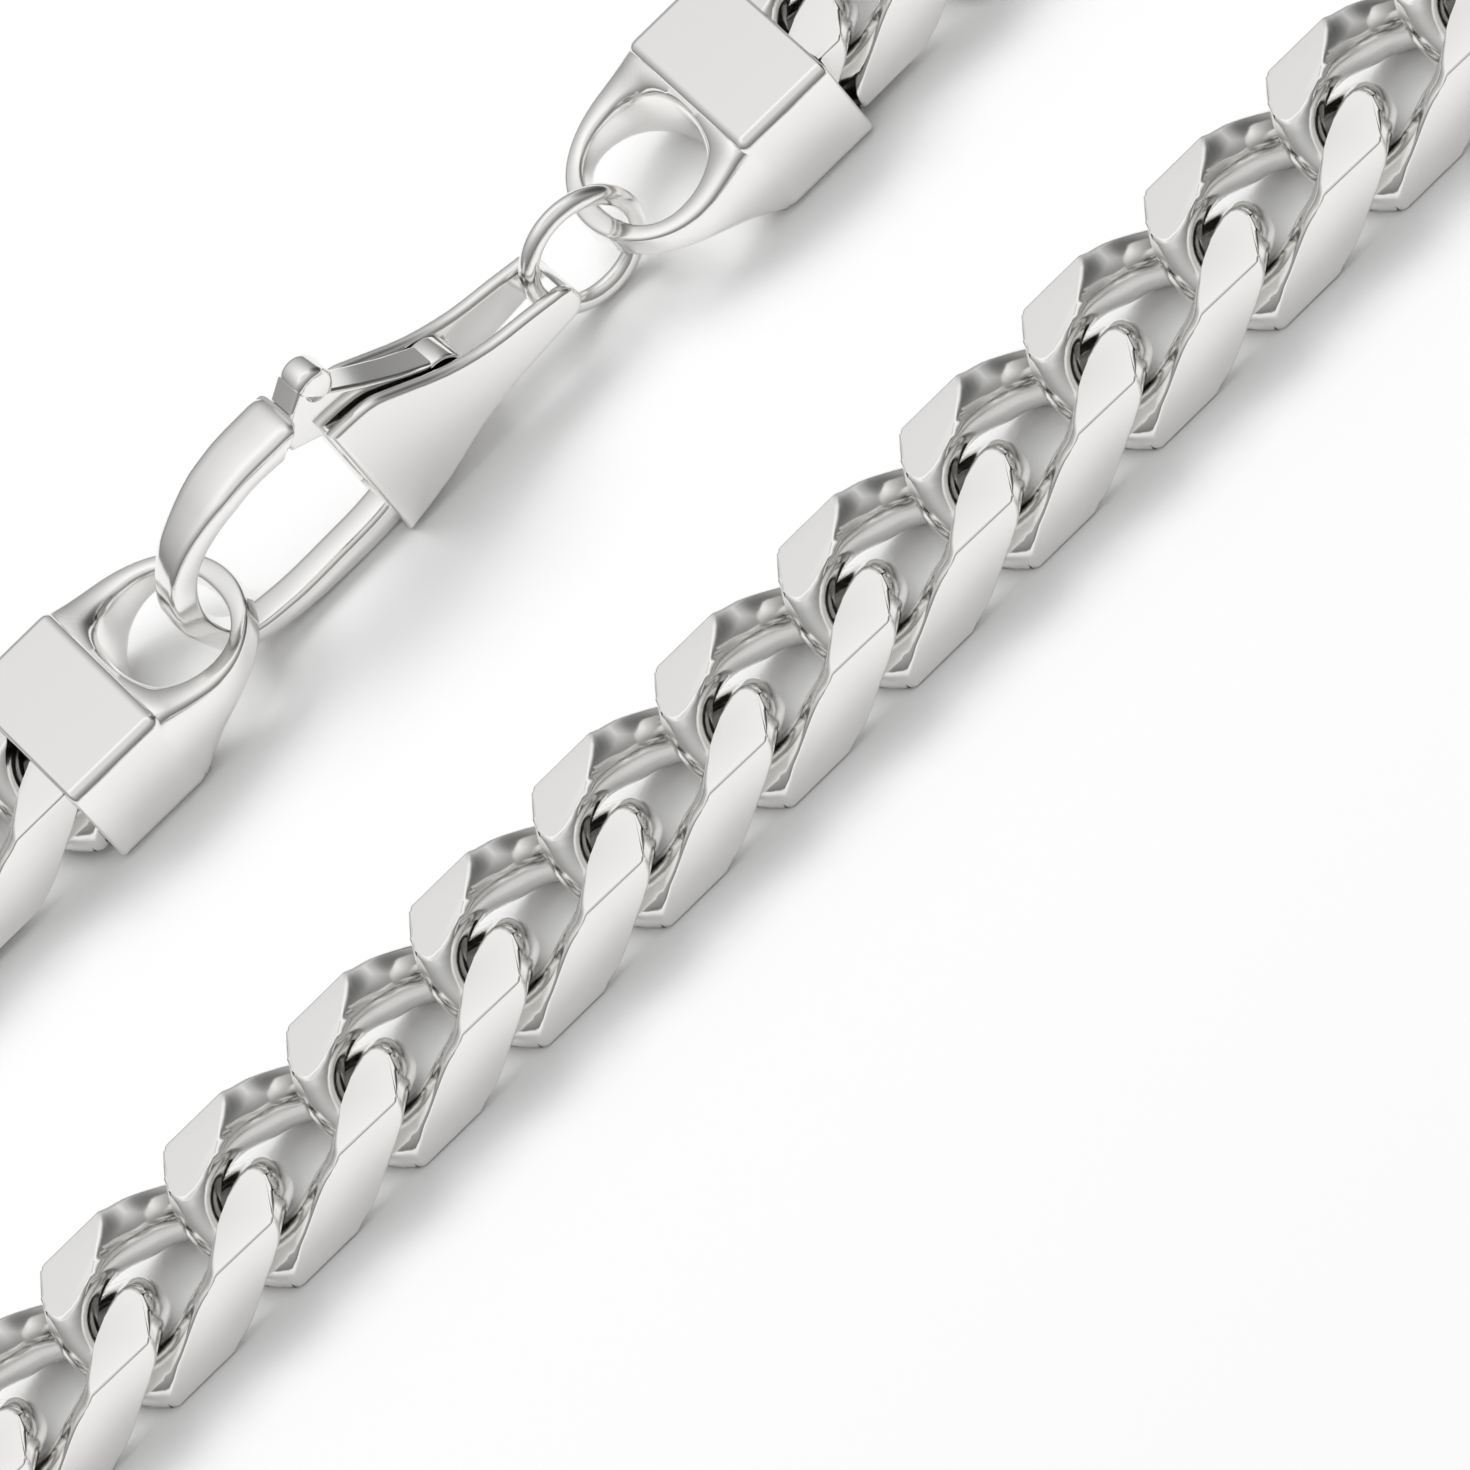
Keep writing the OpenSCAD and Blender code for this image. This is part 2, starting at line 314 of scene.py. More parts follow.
@dataclass
class Loop:
    """The path that the links follow, with the height of a link's middle above the table."""

    sizes: LoopSizes
    middle_z: float

    def half(self, d: float) -> tuple[float, float, float]:
        """Place and heading along the right half of the loop.

        Args:
            d: Distance from the first link.

        Returns:
            x, y and heading.
        """
        s, r = self.sizes, self.sizes.bend_r
        out, out_l = s.out_turn, s.bend_r * s.out_turn
        round_l = r * (math.pi + 2 * out)
        side = s.run_l / 2
        if d < s.lead:
            return s.first_x + d, s.run_y, 0.0
        d -= s.lead
        if d < out_l:
            a = d / r
            return side + r * math.sin(a), s.run_y + r - r * math.cos(a), a
        d -= out_l
        if d < round_l:
            a = out - d / r
            return side + 2 * r * math.sin(out) - r * math.sin(a), r * math.cos(a), a
        d -= round_l
        if d < out_l:
            a = out - d / r
            return side + r * math.sin(a), -s.run_y - r + r * math.cos(a), math.pi - a
        return side - (d - out_l), -s.run_y, math.pi

    def place(self, index: int) -> Place:
        """Place of one link.

        Args:
            index: The link's number from the right cap round to the left one.

        Returns:
            The link's place.
        """
        s = self.sizes
        d = index * s.pitch + s.shift
        steps = min(index, s.pitches - index)
        z = self.middle_z + s.lift * max(0.0, min(1.0, (s.lift_steps + 1 - steps) / s.lift_steps))
        if d <= s.length / 2:
            x, y, a = self.half(d)
            return Place(x, y, z, a)
        x, y, a = self.half(s.length - d)
        return Place(-x, y, z, -a)


@dataclass(frozen=True)
class LinkSizes:
    """One curb link, in millimetres and degrees.

    The ring's half length and half width are those of its centre line. The wire is thick
    across and high at the two arms, and thin and low at the two ends. It is twisted about
    the chain's line, slowly near the middle and fully at the reach. The flat faces on top
    and below lean outwards from facet_y. Points nearer than merge are joined before the
    rims that are sharper than rim_angle are rounded by rim. The link is shaped from a blank
    ring of radius 1 with wire of radius blank_r. Of the first and the last link only the
    end that leaves the cap is built, from cap_cut outwards.
    """

    ring_l: float = 3.684
    ring_w: float = 2.864
    ring_power: float = 1.898
    end_t: float = 1.315
    arm_t: float = 2.746
    end_h: float = 1.662
    arm_h: float = 2.609
    wire_power: float = 2.3
    twist: float = 43.3
    twist_power: float = 1.348
    reach: float = 3.88
    width: float = 5.2
    height: float = 3.1
    facet_y: float = 1.9
    facet_lean: float = 1.5
    around: int = 72
    across: int = 20
    merge: float = 0.1
    rim: float = 0.09
    rim_angle: float = 20.0
    blank_r: float = 0.25
    cap_cut: float = 1.1


@dataclass
class CurbLink:
    """A twisted link of stout wire with flat cut faces."""

    sizes: LinkSizes

    def ring_point(self, angle: float) -> tuple[float, float]:
        """Point on the ring's centre line, in its plane.

        Args:
            angle: The ring's parameter, in radians.

        Returns:
            Distance along and across the link.
        """
        s = self.sizes
        power = 2 / s.ring_power
        x = s.ring_l * signed_power(math.cos(angle), power)
        return x, s.ring_w * signed_power(math.sin(angle), power)

    def wire_point(self, angle: float, turn: float) -> Vector:
        """Point on the twisted wire's surface.

        Args:
            angle: The ring's parameter, in radians.
            turn: Direction round the wire's section, in radians.

        Returns:
            The point, before the link is cut.
        """
        s = self.sizes
        x, y = self.ring_point(angle)
        c, q = math.cos(angle), math.sin(angle)
        power = 2 - 2 / s.ring_power
        normal = Vector((signed_power(c, power) / s.ring_l, signed_power(q, power) / s.ring_w))
        normal.normalize()
        arm = min(1.0, abs(y) / s.ring_w) ** 2
        thick = s.end_t + (s.arm_t - s.end_t) * arm
        high = s.end_h + (s.arm_h - s.end_h) * arm
        out = thick / 2 * signed_power(math.cos(turn), 2 / s.wire_power)
        up = high / 2 * signed_power(math.sin(turn), 2 / s.wire_power)
        px, py = x + normal.x * out, y + normal.y * out
        swing = math.sin(math.pi / 2 * max(-1.0, min(1.0, px / s.reach)))
        k = math.radians(s.twist) * signed_power(swing, s.twist_power)
        c, q = math.cos(k), math.sin(k)
        return Vector((px, -(py * c - up * q), py * q + up * c))

    def build(self) -> bmesh.types.BMesh:
        """Spin a wire ring, twist it, cut its faces flat and soften their rims.

        Returns:
            The link about its own middle, in metres.
        """
        s = self.sizes
        shape = bmesh.new()
        wire = bmesh.ops.create_circle(shape, segments=s.across, radius=s.blank_r)["verts"]
        bmesh.ops.rotate(shape, verts=wire, matrix=Matrix.Rotation(math.pi / 2, 3, "X"))
        bmesh.ops.translate(shape, verts=wire, vec=(1, 0, 0))
        spin_round(shape, (0, 0, 1), s.around)
        for vert in shape.verts:
            angle = math.atan2(vert.co.y, vert.co.x)
            turn = math.atan2(vert.co.z, math.hypot(vert.co.x, vert.co.y) - 1)
            vert.co = self.wire_point(angle, turn) * MM
        planes = self.planes()
        for normal, distance in planes:
            self.cut(shape, normal, distance)
        self.soften(shape)
        for vert in shape.verts:
            for normal, distance in planes:
                vert.co -= normal * max(0.0, vert.co.dot(normal) - distance)
        return shape

    def planes(self) -> list[tuple[Vector, float]]:
        """List the flat faces cut on the link.

        Returns:
            Each face's outward direction and its distance from the link's middle, in metres.
        """
        s = self.sizes
        lean = math.radians(s.facet_lean)
        found = []
        for side in (1, -1):
            found.append((Vector((0, side, 0)), s.width / 2 * MM))
            for end in (1, -1):
                normal = Vector((0, end * math.sin(lean), side * math.cos(lean)))
                middle = Vector((0, end * s.facet_y, side * s.height / 2))
                found.append((normal, middle.dot(normal) * MM))
        return found

    def soften(self, shape: bmesh.types.BMesh) -> None:
        """Take the sharpness off the cut faces' rims.

        Args:
            shape: The cut link.
        """
        s = self.sizes
        rims = each_once(v for e in shape.edges if not e.smooth for v in e.verts)
        close = each_once(w for v in rims for e in v.link_edges for w in e.verts)
        bmesh.ops.remove_doubles(shape, verts=close, dist=s.merge * MM)
        least = math.radians(s.rim_angle)
        sharp = [e for e in shape.edges if not e.smooth and e.calc_face_angle(0.0) > least]
        for edge in shape.edges:
            edge.smooth = True
        soften_edges(shape, sharp, s.rim, segments=2, clamp=False)
        bmesh.ops.remove_doubles(shape, verts=shape.verts[:], dist=SAME)

    def cut(self, shape: bmesh.types.BMesh, normal: Vector, distance: float) -> None:
        """Cut one flat face and close it.

        Args:
            shape: The link.
            normal: Outward direction of the new face.
            distance: How far it lies from the link's middle.
        """
        made = bmesh.ops.bisect_plane(
            shape,
            geom=shape.verts[:] + shape.edges[:] + shape.faces[:],
            dist=SAME,
            plane_co=normal * distance,
            plane_no=normal,
            clear_outer=True,
        )
        edges = [e for e in made["geom_cut"] if isinstance(e, bmesh.types.BMEdge)]
        rim = [e for e in edges if e.is_boundary]
        for edge in rim:
            edge.smooth = False
        bmesh.ops.holes_fill(shape, edges=rim, sides=0)


@dataclass
class Chain:
    """All the links of the closed loop, as two pieces that meet."""

    loop: Loop
    link: CurbLink

    def build(self, material: bpy.types.Material) -> list[bpy.types.Object]:
        """Build both halves.

        Args:
            material: The links' finish.

        Returns:
            The two pieces.
        """
        whole = self.pattern(0)
        ends = {0: self.pattern(1), self.loop.sizes.pitches: self.pattern(-1)}
        count = self.loop.sizes.pitches
        half = count // 2
        made = []
        for name, first, last in (("chain_right", 0, half), ("chain_left", half + 1, count)):
            shape = bmesh.new()
            for index in range(first, last + 1):
                one = ends.get(index, whole).copy()
                place = self.loop.place(index)
                where = Vector((place.x, place.y, place.z)) * MM
                one.transform(Matrix.Translation(where) @ Matrix.Rotation(place.heading, 4, "Z"))
                shape.from_mesh(one)
                bpy.data.meshes.remove(one)
            mesh = bpy.data.meshes.new(name + "_links")
            finish_mesh(mesh, shape, material)
            made.append(put(name + "_links", mesh, Body.NECKLACE, name))
        for mesh in (whole, *ends.values()):
            bpy.data.meshes.remove(mesh)
        return made

    def pattern(self, side: int) -> bpy.types.Mesh:
        """Make a link's mesh, whole or cut short where a cap holds it.

        Args:
            side: 0 for a whole link, or the direction of the end that is kept.

        Returns:
            The mesh, about the link's own middle.
        """
        shape = self.link.build()
        if side:
            self.link.cut(shape, Vector((-side, 0, 0)), -self.link.sizes.cap_cut * MM)
        bmesh.ops.recalc_face_normals(shape, faces=shape.faces[:])
        mesh = bpy.data.meshes.new("link_pattern")
        shape.to_mesh(mesh)
        shape.free()
        return mesh


def spline(rows: tuple[tuple[float, ...], ...], at: float) -> list[float]:
    """Point of a smooth line through the rows of a table.

    Args:
        rows: The table, one point in each row.
        at: How many rows on from the first one the point lies.

    Returns:
        The point's values.
    """
    last = len(rows) - 1
    i = min(last - 1, max(0, int(at)))
    f = at - i
    near = [rows[min(last, max(0, i + k))] for k in (-1, 0, 1, 2)]
    point = []
    for a, b, c, d in zip(*near):
        square, cube = 2 * a - 5 * b + 4 * c - d, 3 * b - a - 3 * c + d
        point.append(0.5 * (2 * b + (c - a) * f + square * f * f + cube * f**3))
    return point


def between(rows: tuple[tuple[float, float], ...], place: float) -> float:
    """Read a table of places and values.

    Args:
        rows: Pairs of place and value, in falling order of place.
        place: Where to read it.

    Returns:
        The value there, or the nearest end's value.
    """
    for (x0, v0), (x1, v1) in zip(rows, rows[1:]):
        if x1 <= place <= x0:
            return v0 + (v1 - v0) * (x0 - place) / (x0 - x1)
    return rows[0][1] if place > rows[0][0] else rows[-1][1]


def tube(
    shape: bmesh.types.BMesh,
    sides: int,
    steps: int,
    at: Callable[[float, float], Vector],
) -> None:
    """Add a closed tube: a grid rolled round a section and stretched along a path.

    Args:
        shape: The bmesh to add to.
        sides: Faces round the section.
        steps: Faces along the path.
        at: Point for a share of the path and a direction round the section.
    """
    made = bmesh.ops.create_grid(shape, x_segments=steps, y_segments=sides, size=1.0)["verts"]
    for vert in made:
        vert.co = at((vert.co.x + 1) / 2, math.pi * (vert.co.y + 1)) * MM
    bmesh.ops.remove_doubles(shape, verts=made, dist=JOIN)
    rims = each_once(e for v in made if v.is_valid for e in v.link_edges if e.is_boundary)
    if rims:
        bmesh.ops.holes_fill(shape, edges=rims, sides=0)


def plate(
    shape: bmesh.types.BMesh,
    outline: list[tuple[float, float]],
    sides: tuple[float, float],
    soft: float,
    segments: int = 4,
) -> None:
    """Add an upright plate with rounded rims.

    Args:
        shape: The bmesh to add to.
        outline: Corners in order, along and up, in millimetres.
        sides: Where its two faces lie across the clasp, in millimetres.
        soft: Radius of its rims, in millimetres.
        segments: Steps of the rounding.
    """
    old = set(shape.verts)
    made = bmesh.ops.create_circle(shape, cap_ends=True, segments=len(outline), radius=1.0)["verts"]
    for vert, (x, z) in zip(made, outline):
        vert.co = Vector((x, sides[0], z)) * MM
    face = made[0].link_faces[0]
    grown = bmesh.ops.extrude_face_region(shape, geom=[face], use_keep_orig=True)["geom"]
    moved = [g for g in grown if isinstance(g, bmesh.types.BMVert)]
    bmesh.ops.translate(shape, verts=moved, vec=(0, (sides[1] - sides[0]) * MM, 0))
    mine = each_once(e for v in shape.verts if v not in old for e in v.link_edges)
    rim = [e for e in mine if abs(e.verts[0].co.y - e.verts[1].co.y) < LEVEL]
    soften_edges(shape, rim, soft, segments)


def ring_of(x: float, z: float, radius: float, count: int = 40) -> list[tuple[float, float]]:
    """Corners of a circle.

    Args:
        x: Its middle along the clasp.
        z: Its middle's height.
        radius: Its radius.
        count: How many corners.

    Returns:
        The corners in order.
    """
    turns = [math.tau * k / count for k in range(count)]
    return [(x + radius * math.cos(t), z + radius * math.sin(t)) for t in turns]


@dataclass(frozen=True)
class CapSizes:
    """An end cap, in millimetres from the middle of the clasp run.

    The box reaches from in_x, at the eye, to out_x, at the chain. The socket is given as its
    depth, breadth and height. The eye runs from tip_x to eye_in inside the box, and two
    hollows lead its top and its underside into the box's.
    """

    in_x: float = 12.2
    out_x: float = 15.9
    width: float = 6.6
    height: float = 3.7
    soft: float = 0.40
    rim_soft: float = 0.15
    soft_steps: int = 5
    inset: float = 0.01
    socket: tuple[float, float, float] = (2.1, 5.44, 3.34)
    tip_x: float = 7.45
    eye_in: float = 0.6
    hole_x: float = 10.125
    hole_l: float = 3.75
    hole_w: float = 4.7
    hole_power: float = 2.3
    eye_low: float = 1.75
    eye_top: float = 2.7
    eye_power: float = 4.5
    slope_l: float = 3.9
    slope_h: float = 0.85
    under_l: float = 3.8
    sides: int = 24
    steps: int = 96


@dataclass
class EndCap:
    """A square cap with a socket for the chain and a rounded eye."""

    sizes: CapSizes

    def eye_point(self, share: float, turn: float) -> Vector:
        """Point on the eye's surface.

        Args:
            share: Share of the way round the hole.
            turn: Direction round the eye's section, in radians.

        Returns:
            The point.
        """
        s = self.sizes
        a = math.tau * share
        c, q = math.cos(a), math.sin(a)
        p = s.hole_power
        hole = 1 / (abs(c / (s.hole_l / 2)) ** p + abs(q / (s.hole_w / 2)) ** p) ** (1 / p)
        half = s.width / 2
        shift = s.tip_x + half - s.hole_x
        along = shift * c
        outer = along + math.sqrt(max(0.0, along * along - shift * shift + half * half))
        if s.hole_x + outer * c > s.tip_x + half:
            inside = s.in_x + s.eye_in - s.hole_x
            outer = min(half / max(SMALL, abs(q)), inside / max(SMALL, c))
        middle, wide = (outer + hole) / 2, (outer - hole) / 2
        r = middle + wide * signed_power(math.cos(turn), 2 / s.eye_power)
        x = s.hole_x + r * c
        top = s.eye_top + self.rise(x, s.slope_l, s.slope_h)
        low = s.eye_low - self.rise(x, s.under_l, s.eye_low)
        z = (top + low) / 2 + (top - low) / 2 * signed_power(math.sin(turn), 2 / s.eye_power)
        return Vector((x, r * q, z))

    def rise(self, x: float, length: float, height: float) -> float:
        """Height of the hollow's arc between the eye and the box.

        Args:
            x: Place along the cap.
            length: The arc's length.
            height: The arc's whole height.

        Returns:
            The arc's height at that place.
        """
        radius = (length * length + height * height) / (2 * height)
        d = max(0.0, min(length, x - self.sizes.in_x + length))
        return radius - math.sqrt(radius * radius - d * d)

    def build(self) -> bmesh.types.BMesh:
        """Bevel a box, sink its socket and add the eye.

        Returns:
            The cap, its box to the right of the eye, in metres.
        """
        s = self.sizes
        shape = bmesh.new()
        bmesh.ops.create_cube(shape, size=1.0)
        size = Vector((s.out_x - s.in_x, s.width, s.height)) * MM
        bmesh.ops.scale(shape, verts=shape.verts[:], vec=size)
        place = Vector(((s.in_x + s.out_x) / 2, 0, s.height / 2)) * MM
        bmesh.ops.translate(shape, verts=shape.verts[:], vec=place)
        out = s.out_x * MM
        for at_end, soft in ((False, s.soft), (True, s.rim_soft)):
            ends = ((e, all(v.co.x > out - SAME for v in e.verts)) for e in shape.edges)
            soften_edges(shape, [e for e, found in ends if found == at_end], soft, s.soft_steps)
        face = max(shape.faces, key=lambda f: f.calc_center_median().x)
        bmesh.ops.inset_individual(shape, faces=[face], thickness=s.inset * MM)
        deep, wide, high = s.socket
        corners = [v.co for v in face.verts]
        broad = max(c.y for c in corners) - min(c.y for c in corners)
        tall = max(c.z for c in corners) - min(c.z for c in corners)
        middle = Vector((out, 0, s.height / 2 * MM))
        bmesh.ops.scale(
            shape,
            verts=face.verts[:],
            vec=(1, wide * MM / broad, high * MM / tall),
            space=Matrix.Translation(-middle),
        )
        sunk = bmesh.ops.extrude_discrete_faces(shape, faces=[face])["faces"][0]
        bmesh.ops.translate(shape, verts=sunk.verts[:], vec=(-deep * MM, 0, 0))
        tube(shape, s.sides, s.steps, self.eye_point)
        return shape


@dataclass(frozen=True)
class ClaspSizes:
    """The lobster claw, in millimetres along the clasp and up from the table.

    Outlines hold pairs of along and up. The claw's rows add its thickness, and run from
    under the cheeks round to the hook's tip. Round parts are along, up and radius. What
    joins the cheeks goes into them by bite. The claw is slim below broad_from, and as
    broad as its table says from broad_over above that.
    """

    turn_x: float = 5.4
    turn: float = 1.5
    width: float = 2.5
    slot: float = 1.45
    lever: float = 1.2
    soft: float = 0.2
    lever_soft: float = 0.15
    boss_soft: float = 0.1
    tab_soft: float = 0.28
    keel_soft: float = 0.05
    tail_soft: float = 0.08
    bite: float = 0.2
    pivot: tuple[float, float] = (1.05, 3.15)
    pin_r: float = 0.40
    boss_r: float = 0.9
    tab: tuple[float, float, float] = (-2.1, 6.9, 0.7)
    slope: float = 40.0
    slope_rows: float = 1.8
    sides: int = 28
    steps: int = 132
    power: float = 4.5
    slim: float = 0.6
    broad_from: float = 4.0
    broad_over: float = 1.2
    broad: tuple[tuple[float, float], ...] = (
        (-3.0, 1.10),
        (-5.0, 1.07),
        (-6.5, 1.01),
        (-8.0, 0.77),
        (-9.2, 0.60),
    )
    claw: tuple[tuple[float, float, float], ...] = (
        (-0.60, 1.15, 1.20),
        (-2.70, 0.55, 1.00),
        (-4.90, 0.48, 0.94),
        (-7.00, 0.62, 0.80),
        (-8.75, 1.15, 0.70),
        (-9.50, 2.55, 0.85),
        (-9.45, 4.05, 1.00),
        (-8.55, 5.40, 1.00),
        (-7.10, 6.20, 0.92),
        (-5.60, 6.55, 0.88),
        (-4.20, 6.55, 0.95),
        (-3.90, 6.52, 0.98),
    )
    cheek: tuple[tuple[float, float], ...] = (
        (-2.8, 5.55),
        (-1.9, 5.50),
        (-1.1, 5.35),
        (-0.4, 4.95),
        (1.15, 4.0),
        (2.7, 3.4),
        (4.25, 3.1),
        (5.2, 2.90),
    )
    cheek_under: tuple[tuple[float, float], ...] = (
        (5.2, 1.60),
        (4.5, 1.55),
        (2.6, 1.40),
        (1.0, 1.10),
        (-0.8, 0.50),
        (-2.8, 0.08),
    )
    keel: tuple[tuple[float, float], ...] = (
        (-2.8, 0.08),
        (-0.8, 0.50),
        (1.0, 1.10),
        (2.05, 1.33),
        (2.05, 1.80),
        (1.0, 1.75),
        (-0.8, 1.30),
        (-2.8, 1.07),
    )
    arm: tuple[tuple[float, float], ...] = (
        (1.1, 4.04),
        (0.1, 4.75),
        (-0.9, 5.60),
        (-1.9, 6.55),
        (-2.6, 7.40),
        (-3.9, 6.34),
        (-3.9, 5.70),
        (-2.4, 5.00),
        (-0.8, 4.00),
        (0.4, 2.60),
        (1.1, 2.26),
    )
    tail: tuple[float, float, float] = (5.2, 2.25, 0.65)
    tail_slot: float = 5.5
    tail_step: int = 15
    bar_half: float = 0.55
    bar_turns: tuple[float, ...] = (62, 40, 20, 0, -20, -40, -62)


@dataclass
class Clasp:
    """A lobster claw: one casting and the lever that closes it."""

    sizes: ClaspSizes

    def half_width(self, x: float, z: float) -> float:
        """Half the claw's width, widest at the hook's tip.

        Args:
            x: Place along the clasp.
            z: Height.

        Returns:
            Half the width there.
        """
        s = self.sizes
        share = min(1.0, max(0.0, z - s.broad_from) / s.broad_over)
        return s.slim + (between(s.broad, x) - s.slim) * share

    def claw_point(self, share: float, turn: float) -> Vector:
        """Point on the claw's surface.

        Args:
            share: Share of the way along the claw.
            turn: Direction round its section, in radians.

        Returns:
            The point.
        """
        s = self.sizes
        last = len(s.claw) - 1
        t = share * last
        x, z, thick = spline(s.claw, t)
        step = 0.1
        x0, z0, _ = spline(s.claw, max(0.0, t - step))
        x1, z1, _ = spline(s.claw, min(float(last), t + step))
        along = Vector((x1 - x0, 0, z1 - z0)).normalized()
        across = Vector((-along.z, 0, along.x))
        up = thick / 2 * signed_power(math.sin(turn), 2 / s.power)
        wide = self.half_width(x, z) * signed_power(math.cos(turn), 2 / s.power)
        near_tip = max(0.0, (t - last + s.slope_rows) / s.slope_rows)
        lean = near_tip / math.tan(math.radians(s.slope))
        return Vector((x, wide, z)) + across * up + along * up * lean

    def cheek_outline(self) -> list[tuple[float, float]]:
        """Outline of a cheek, with its round tail.

        Returns:
            The corners in order.
        """
        s = self.sizes
        fine = 3
        top_count = (len(s.cheek) - 1) * fine
        low_count = (len(s.cheek_under) - 1) * fine
        top = [tuple(spline(s.cheek, k / fine)) for k in range(top_count)]
        x, z, r = s.tail
        turns = [math.radians(a) for a in range(90, -91, -s.tail_step)]
        tail = [(x + r * math.cos(t), z + r * math.sin(t)) for t in turns]
        under = [tuple(spline(s.cheek_under, k / fine)) for k in range(1, low_count + 1)]
        return top + tail + under

    def body(self) -> bmesh.types.BMesh:
        """Join the claw, the two cheeks and what joins them.

        Returns:
            The casting, in metres, along the clasp.
        """
        s = self.sizes
        shape = bmesh.new()
        tube(shape, s.sides, s.steps, self.claw_point)
        for side in (-1, 1):
            plate(shape, self.cheek_outline(), (side * s.slot / 2, side * s.width / 2), s.soft)
        inside = (-s.slot / 2 - s.bite, s.slot / 2 + s.bite)
        plate(shape, list(s.keel), inside, s.keel_soft, segments=2)
        x, z, r = s.tail
        arc = [math.radians(a) for a in s.bar_turns]
        bar = [(x + r * math.cos(t), z + r * math.sin(t)) for t in arc]
        bar = [(s.tail_slot, z + s.bar_half), *bar, (s.tail_slot, z - s.bar_half)]
        plate(shape, bar, inside, s.tail_soft, segments=3)
        plate(shape, ring_of(*s.pivot, s.pin_r), inside, s.keel_soft, segments=2)
        return shape

    def lever_shape(self) -> bmesh.types.BMesh:
        """Join the lever's arm, boss and thumb tab.

        Returns:
            The lever, in metres, along the clasp.
        """
        s = self.sizes
        shape = bmesh.new()
        sides = (-s.lever / 2, s.lever / 2)
        plate(shape, list(s.arm), sides, s.lever_soft)
        plate(shape, ring_of(*s.pivot, s.boss_r), sides, s.boss_soft)
        plate(shape, ring_of(*s.tab), sides, s.tab_soft, segments=5)
        return shape

    def place(self, run_y: float, shift: float) -> Matrix:
        """Where the clasp lies in the row frame.

        Args:
            run_y: The clasp's place across the runs, in millimetres.
            shift: Its place along the run, in millimetres.

        Returns:
            The transform.
        """
        s = self.sizes
        there = Matrix.Translation(Vector((shift + s.turn_x, run_y, 0)) * MM)
        turned = Matrix.Rotation(math.radians(s.turn), 4, "Z")
        return there @ turned @ Matrix.Translation(Vector((-s.turn_x, 0, 0)) * MM)


@dataclass(frozen=True)
class HardwareSizes:
    """Where the clasp's pieces lie, in millimetres, and from which angle an edge is sharp."""

    shift: float = 0.18
    left_out: float = 0.15
    clasp_y: float = 8.6
    ring_r: float = 1.95
    wire_r: float = 0.33
    ring_x: float = 6.9
    ring_sides: int = 24
    ring_steps: int = 96
    sharp: float = 40.0


@dataclass
class Hardware:
    """The end caps, the jump ring and the clasp, on the run that lies at run_y."""

    sizes: HardwareSizes
    run_y: float

    def build(self, material: bpy.types.Material) -> list[bpy.types.Object]:
        """Build every piece in its place.

        Args:
            material: The finish.

        Returns:
            The pieces.
        """
        s = self.sizes
        clasp = Clasp(ClaspSizes())
        cap = EndCap(CapSizes())
        turned = clasp.place(s.clasp_y, s.shift)
        right = Matrix.Translation(Vector((s.shift, self.run_y, 0)) * MM)
        left = Matrix.Translation(Vector((s.shift - s.left_out, self.run_y, 0)) * MM)
        left = left @ Matrix.Scale(-1, 4, (1, 0, 0))
        plans = (
            ("end_cap_right", cap.build(), right, Body.NECKLACE),
            ("end_cap_left", cap.build(), left, Body.NECKLACE),
            ("jump_ring", self.ring(), Matrix.Identity(4), Body.NECKLACE),
            ("clasp_body", clasp.body(), turned, Body.NECKLACE),
            ("clasp_lever", clasp.lever_shape(), turned, Body.LEVER),
        )
        made = []
        for name, shape, place, body in plans:
            bmesh.ops.transform(shape, matrix=place, verts=shape.verts[:])
            mesh = bpy.data.meshes.new(name + "_metal")
            finish_mesh(mesh, shape, material)
            mesh.set_sharp_from_angle(angle=math.radians(s.sharp))
            piece = put(name + "_metal", mesh, body, name)
            piece.modifiers["flat faces"].keep_sharp = True
            made.append(piece)
        return made

    def ring(self) -> bmesh.types.BMesh:
        """Spin the jump ring's wire.

        Returns:
            The ring in its place, in metres.
        """
        s = self.sizes
        shape = bmesh.new()
        wire = bmesh.ops.create_circle(shape, segments=s.ring_sides, radius=s.wire_r * MM)["verts"]
        bmesh.ops.translate(shape, verts=wire, vec=(s.ring_r * MM, 0, 0))
        spin_round(shape, (0, 1, 0), s.ring_steps)
        place = Vector((s.shift + s.ring_x, s.clasp_y, s.ring_r + s.wire_r)) * MM
        bmesh.ops.translate(shape, verts=shape.verts[:], vec=place)
        return shape


@dataclass(frozen=True)
class Lamp:
    """One soft light: place and aim in millimetres, size and power."""

    name: str
    place: tuple[float, float, float]
    size: tuple[float, float]
    power: float
    aim: tuple[float, float, float] = (0.0, 0.0, 0.0)


@dataclass(frozen=True)
class CameraSizes:
    """Where the photograph was taken from, in millimetres and degrees."""

    azimuth: float = -4.2
    elevation: float = 48.43
    roll: float = 41.13
    distance: float = 600.0
    lens: float = 489.67
    sensor: float = 36.0
    aim: tuple[float, float, float] = (-0.374, -7.855, 0.0)


